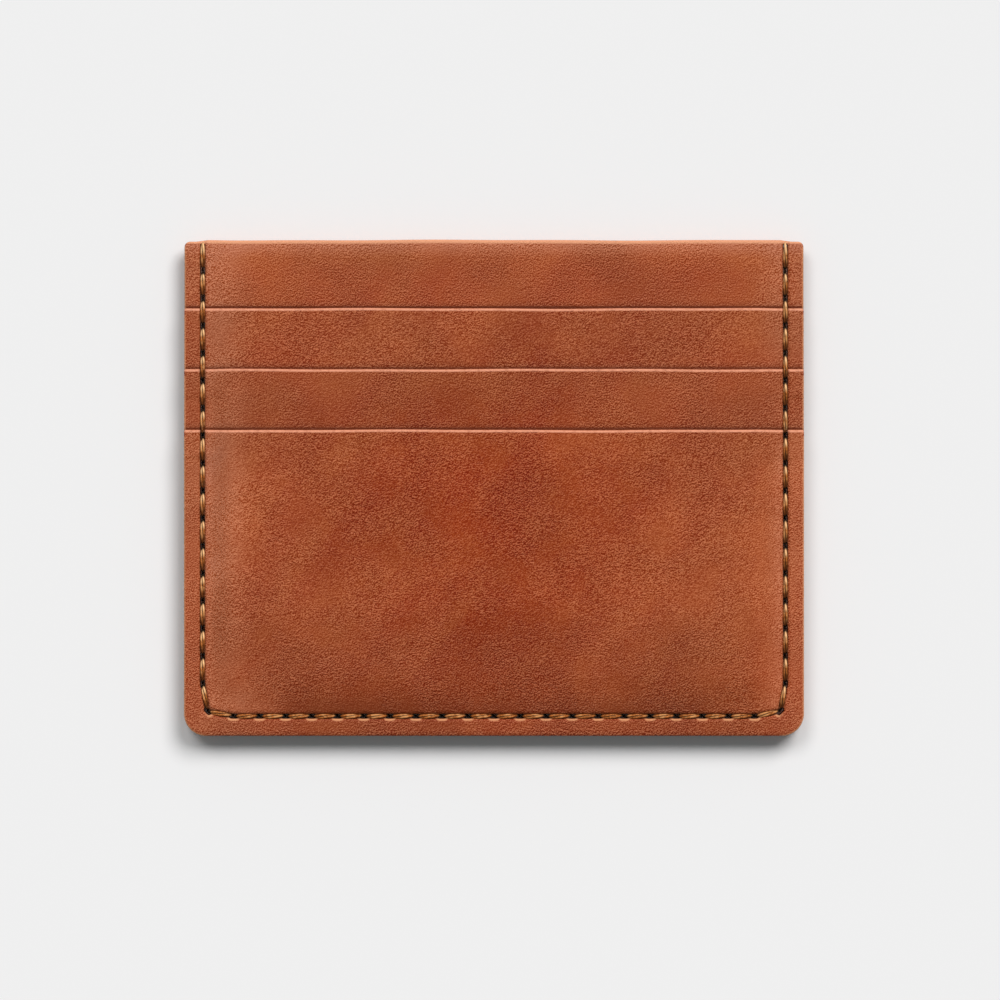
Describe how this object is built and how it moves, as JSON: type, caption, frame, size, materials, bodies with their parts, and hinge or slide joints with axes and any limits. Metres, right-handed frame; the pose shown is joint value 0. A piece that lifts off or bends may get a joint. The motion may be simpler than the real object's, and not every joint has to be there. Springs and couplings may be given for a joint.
{
  "type": "card wallet",
  "caption": "Slim flat leather card wallet with tiered full-width card pockets on both faces, an open middle compartment and a stitched rim.",
  "frame": {"origin": "on the table under the middle of the wallet, which lies on its back", "axes": "+X along the width, +Y towards the mouths of the pockets, +Z out of the front face"},
  "size_m": [0.1, 0.08, 0.0067],
  "materials": {
    "cognac_leather": "satin pull-up leather, reddish brown, with a fine pebble grain",
    "bronze_waxed_thread": "waxed twisted polyester thread, golden bronze, glossy",
    "brown_sewing_thread": "fine matte sewing thread, brown"
  },
  "bodies": {
    "root": {"front_panel": "cognac_leather", "front_upper_pocket": "cognac_leather", "front_middle_pocket": "cognac_leather", "front_lower_pocket": "cognac_leather", "front_rim_seam_thread": "bronze_waxed_thread", "front_upper_hem_needle_thread": "brown_sewing_thread", "front_upper_hem_bobbin_thread": "brown_sewing_thread", "front_middle_hem_needle_thread": "brown_sewing_thread", "front_middle_hem_bobbin_thread": "brown_sewing_thread", "back_panel": "cognac_leather", "back_upper_pocket": "cognac_leather", "back_middle_pocket": "cognac_leather", "back_lower_pocket": "cognac_leather", "back_rim_seam_thread": "bronze_waxed_thread", "back_upper_hem_needle_thread": "brown_sewing_thread", "back_upper_hem_bobbin_thread": "brown_sewing_thread", "back_middle_hem_needle_thread": "brown_sewing_thread", "back_middle_hem_bobbin_thread": "brown_sewing_thread"}
  },
  "joints": []
}
